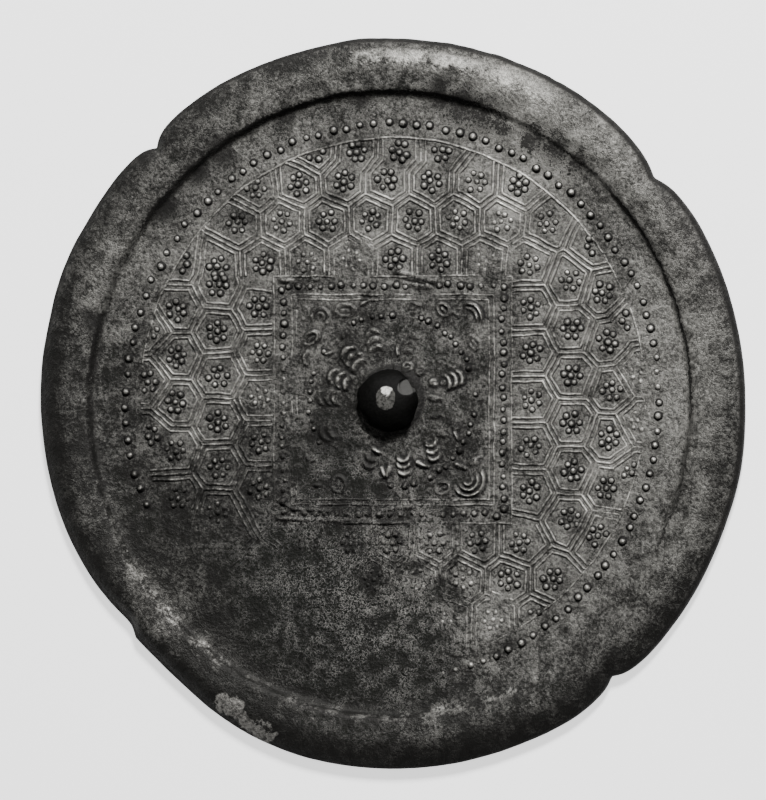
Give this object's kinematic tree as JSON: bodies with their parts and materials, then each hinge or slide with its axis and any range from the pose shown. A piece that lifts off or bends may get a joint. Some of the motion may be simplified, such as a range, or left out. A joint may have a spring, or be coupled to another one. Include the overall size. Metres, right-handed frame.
{
  "type": "bronze mirror",
  "caption": "Round cast bronze mirror lying back up: lobed edge, broad raised rim, pearl ring, tortoise-shell ground, square panel with a wreath, and a pierced domed knob.",
  "frame": {"origin": "on the flat polished face, under the middle of the disc's bounding box", "axes": "+Z out of the decorated back, +Y towards the top of the picture, +X towards its right"},
  "size_m": [0.1898, 0.19, 0.0092],
  "materials": {
    "patinated_bronze": "dark patina, worn and pitted"
  },
  "bodies": {
    "root": {"mirror": "patinated_bronze"}
  },
  "joints": []
}
